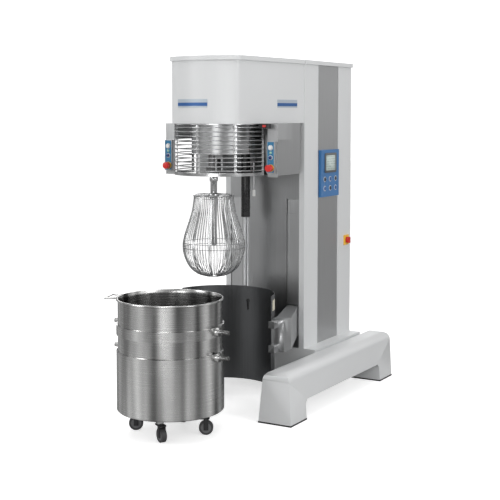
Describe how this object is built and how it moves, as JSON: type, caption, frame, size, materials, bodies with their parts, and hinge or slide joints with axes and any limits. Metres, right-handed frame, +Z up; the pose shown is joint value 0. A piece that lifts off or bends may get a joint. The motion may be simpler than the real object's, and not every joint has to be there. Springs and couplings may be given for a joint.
{
  "type": "planetary mixer",
  "caption": "Floor-standing planetary mixer: white column on two feet, overhanging head with caged planetary drive and whisk, bowl lift with shield, and a steel bowl on casters.",
  "frame": {"origin": "middle of the floor rectangle that the machine and its parked bowl cover", "axes": "+Z up; -Y towards the operator and the parked bowl; +X to the operator's right, the control panel side"},
  "size_m": [1.036, 2.054, 2],
  "materials": {
    "white_paint": "white powder coat, satin",
    "foot_rubber": "black moulded rubber",
    "brushed_steel": "brushed stainless steel",
    "polished_steel": "polished stainless steel",
    "frame_steel": "grey primed welded steel",
    "gear_steel": "machined steel",
    "motor_paint": "dark grey motor paint",
    "belt_rubber": "black ribbed belt",
    "black_tube": "black coated tube",
    "shield_steel": "dark stainless sheet, satin",
    "white_button": "white gloss plastic",
    "blue_button": "dark blue gloss plastic",
    "red_plastic": "red gloss plastic",
    "panel_blue": "blue membrane panel",
    "yellow_plastic": "yellow plastic plate",
    "caster_black": "black pressed steel",
    "caster_tyre": "grey rubber tread"
  },
  "bodies": {
    "root": {"leg_left": "white_paint", "leg_right": "white_paint", "base_crossmember": "white_paint", "foot_pads": "foot_rubber", "column_cover_left": "white_paint", "column_cover_right": "white_paint", "column_inserts": "brushed_steel", "column_rear_cover": "white_paint", "column_front_panel": "brushed_steel", "column_frame": "frame_steel", "column_lid": "white_paint", "head_cover": "white_paint", "head_lid": "white_paint", "gear_housing": "frame_steel", "ring_gear": "gear_steel", "main_motor": "motor_paint", "drive_belt": "belt_rubber", "guard_left": "polished_steel", "splash_cover": "brushed_steel", "strut_tube": "black_tube", "guard_switch": "brushed_steel", "station_left": "brushed_steel", "station_right": "brushed_steel", "control_panel": "panel_blue", "main_switch_plate": "yellow_plastic", "guide_rods": "gear_steel", "lift_motor": "motor_paint", "cable_gland": "black_tube"},
    "drum": {"planetary_drum": "polished_steel"},
    "motor_drive": {"motor_pulley": "gear_steel"},
    "spindle": {"tool_spindle": "polished_steel", "whisk": "polished_steel"},
    "guard": {"guard_front": "polished_steel"},
    "screw": {"lift_screw": "gear_steel"},
    "carriage": {"lift_carriage": "brushed_steel", "bowl_shield": "shield_steel"},
    "bowl": {"bowl_shell": "brushed_steel", "bowl_skirt": "brushed_steel", "bowl_fittings": "brushed_steel"},
    "switch_knob": {"main_switch_knob": "red_plastic"},
    "start_button_left": {"start_button_left": "white_button"},
    "jog_button_left": {"jog_button_left": "blue_button"},
    "stop_button_left": {"stop_button_left": "red_plastic"},
    "start_button_right": {"start_button_right": "white_button"},
    "jog_button_right": {"jog_button_right": "blue_button"},
    "stop_button_right": {"stop_button_right": "red_plastic"},
    "panel_key_1": {"panel_key_1": "panel_blue"},
    "panel_key_2": {"panel_key_2": "panel_blue"},
    "panel_key_3": {"panel_key_3": "panel_blue"},
    "panel_key_4": {"panel_key_4": "panel_blue"},
    "panel_key_5": {"panel_key_5": "panel_blue"},
    "panel_key_6": {"panel_key_6": "panel_blue"},
    "caster_1": {"caster_fork_1": "caster_black"},
    "wheel_1": {"caster_wheel_1": "caster_tyre"},
    "caster_2": {"caster_fork_2": "caster_black"},
    "wheel_2": {"caster_wheel_2": "caster_tyre"},
    "caster_3": {"caster_fork_3": "caster_black"},
    "wheel_3": {"caster_wheel_3": "caster_tyre"},
    "caster_4": {"caster_fork_4": "caster_black"},
    "wheel_4": {"caster_wheel_4": "caster_tyre"}
  },
  "joints": [
    {"name": "carriage_lift", "type": "slide", "parent": "root", "child": "carriage", "axis": [0, 0, 1], "range_m": [0, 0.545]},
    {"name": "screw_turn", "type": "hinge", "parent": "root", "child": "screw", "pos_m": [0, 0.385, 0.289], "axis": [0, 0, 1], "range_deg": [0, 9820]},
    {"name": "bowl_roll", "type": "slide", "parent": "carriage", "child": "bowl", "axis": [0, 1, 0], "range_m": [0, 0.515]},
    {"name": "drum_turn", "type": "hinge", "parent": "root", "child": "drum", "pos_m": [0, -0.228, 1.462], "axis": [0, 0, 1], "continuous": true},
    {"name": "motor_turn", "type": "hinge", "parent": "root", "child": "motor_drive", "pos_m": [0, 0.62, 1.78], "axis": [0, 0, 1], "continuous": true},
    {"name": "spindle_turn", "type": "hinge", "parent": "drum", "child": "spindle", "pos_m": [-0.07794, -0.183, 1.364], "axis": [0, 0, 1], "continuous": true},
    {"name": "guard_swing", "type": "hinge", "parent": "root", "child": "guard", "pos_m": [0, -0.228, 1.348], "axis": [0, 0, -1], "range_deg": [0, 60]},
    {"name": "main_switch_turn", "type": "hinge", "parent": "root", "child": "switch_knob", "pos_m": [0.27, 0.841, 0.886], "axis": [1, 0, 0], "range_deg": [-90, 0]},
    {"name": "start_button_left_press", "type": "slide", "parent": "root", "child": "start_button_left", "axis": [0, 1, 0], "range_m": [0, 0.004], "stiffness_N_per_m": 600},
    {"name": "jog_button_left_press", "type": "slide", "parent": "root", "child": "jog_button_left", "axis": [0, 1, 0], "range_m": [0, 0.004], "stiffness_N_per_m": 600},
    {"name": "stop_button_left_press", "type": "slide", "parent": "root", "child": "stop_button_left", "axis": [0, 1, 0], "range_m": [0, 0.004], "stiffness_N_per_m": 900},
    {"name": "start_button_right_press", "type": "slide", "parent": "root", "child": "start_button_right", "axis": [0, 1, 0], "range_m": [0, 0.004], "stiffness_N_per_m": 600},
    {"name": "jog_button_right_press", "type": "slide", "parent": "root", "child": "jog_button_right", "axis": [0, 1, 0], "range_m": [0, 0.004], "stiffness_N_per_m": 600},
    {"name": "stop_button_right_press", "type": "slide", "parent": "root", "child": "stop_button_right", "axis": [0, 1, 0], "range_m": [0, 0.004], "stiffness_N_per_m": 900},
    {"name": "panel_key_1_press", "type": "slide", "parent": "root", "child": "panel_key_1", "axis": [-1, 0, 0], "range_m": [0, 0.0015], "stiffness_N_per_m": 500},
    {"name": "panel_key_2_press", "type": "slide", "parent": "root", "child": "panel_key_2", "axis": [-1, 0, 0], "range_m": [0, 0.0015], "stiffness_N_per_m": 500},
    {"name": "panel_key_3_press", "type": "slide", "parent": "root", "child": "panel_key_3", "axis": [-1, 0, 0], "range_m": [0, 0.0015], "stiffness_N_per_m": 500},
    {"name": "panel_key_4_press", "type": "slide", "parent": "root", "child": "panel_key_4", "axis": [-1, 0, 0], "range_m": [0, 0.0015], "stiffness_N_per_m": 500},
    {"name": "panel_key_5_press", "type": "slide", "parent": "root", "child": "panel_key_5", "axis": [-1, 0, 0], "range_m": [0, 0.0015], "stiffness_N_per_m": 500},
    {"name": "panel_key_6_press", "type": "slide", "parent": "root", "child": "panel_key_6", "axis": [-1, 0, 0], "range_m": [0, 0.0015], "stiffness_N_per_m": 500},
    {"name": "caster_1_swivel", "type": "hinge", "parent": "bowl", "child": "caster_1", "pos_m": [0.04478, -0.91011, 0.092], "axis": [0, 0, 1], "continuous": true},
    {"name": "wheel_1_roll", "type": "hinge", "parent": "caster_1", "child": "wheel_1", "pos_m": [0.06383, -0.9211, 0.038], "axis": [0.5, 0.866, 0], "continuous": true},
    {"name": "caster_2_swivel", "type": "hinge", "parent": "bowl", "child": "caster_2", "pos_m": [0.16711, -0.69822, 0.092], "axis": [0, 0, 1], "continuous": true},
    {"name": "wheel_2_roll", "type": "hinge", "parent": "caster_2", "child": "wheel_2", "pos_m": [0.18616, -0.68722, 0.038], "axis": [-0.5, 0.866, 0], "continuous": true},
    {"name": "caster_3_swivel", "type": "hinge", "parent": "bowl", "child": "caster_3", "pos_m": [-0.04478, -0.5759, 0.092], "axis": [0, 0, 1], "continuous": true},
    {"name": "wheel_3_roll", "type": "hinge", "parent": "caster_3", "child": "wheel_3", "pos_m": [-0.0486, -0.55423, 0.038], "axis": [-0.9848, -0.1736, 0], "continuous": true},
    {"name": "caster_4_swivel", "type": "hinge", "parent": "bowl", "child": "caster_4", "pos_m": [-0.16711, -0.78778, 0.092], "axis": [0, 0, 1], "continuous": true},
    {"name": "wheel_4_roll", "type": "hinge", "parent": "caster_4", "child": "wheel_4", "pos_m": [-0.18513, -0.80039, 0.038], "axis": [0.5736, -0.8192, 0], "continuous": true}
  ],
  "couplings": [
    {"joint": "screw_turn", "follows": "carriage_lift", "rad_per_m": 314.16},
    {"joint": "spindle_turn", "follows": "drum_turn", "ratio": -2.6667},
    {"joint": "motor_turn", "follows": "drum_turn", "ratio": 2.4444}
  ]
}
